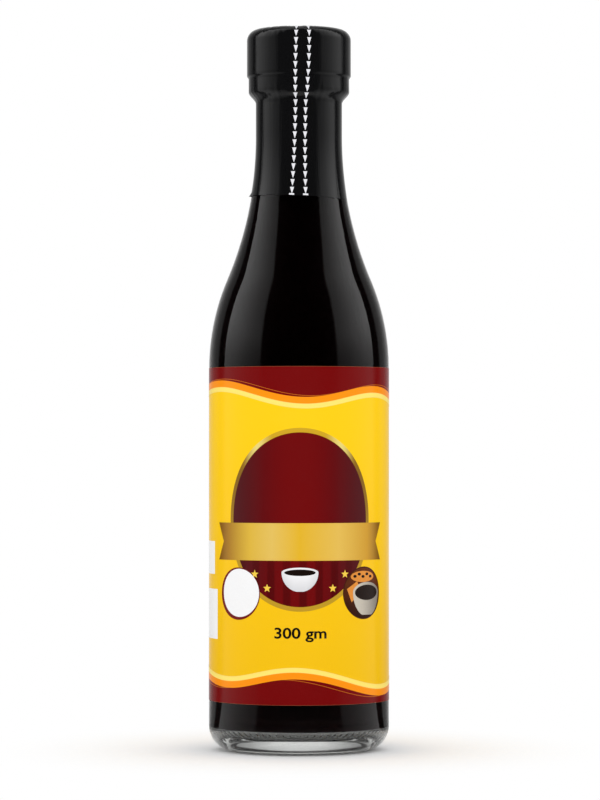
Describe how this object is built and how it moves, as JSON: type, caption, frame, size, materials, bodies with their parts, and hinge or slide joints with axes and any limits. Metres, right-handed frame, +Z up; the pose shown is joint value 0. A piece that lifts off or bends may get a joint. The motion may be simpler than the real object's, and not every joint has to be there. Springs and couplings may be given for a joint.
{
  "type": "soy sauce bottle",
  "caption": "Round glass bottle of soy sauce with a long shoulder, a screw cap under shrink film and a wrap-around paper label.",
  "frame": {"origin": "on the bottle's axis, at the surface that it stands on", "axes": "+Z up along the bottle's axis, -Y out of the front of the label, +X to the label's right as it is read"},
  "size_m": [0.0528, 0.0527, 0.2104],
  "materials": {
    "glass": "gloss",
    "sauce": "gloss",
    "cap_plastic": "satin",
    "film": "gloss",
    "printed_paper": "satin"
  },
  "bodies": {
    "root": {"bottle_glass": "glass", "soy_sauce": "sauce", "cap": "cap_plastic", "shrink_film": "film", "label": "printed_paper"}
  },
  "joints": []
}
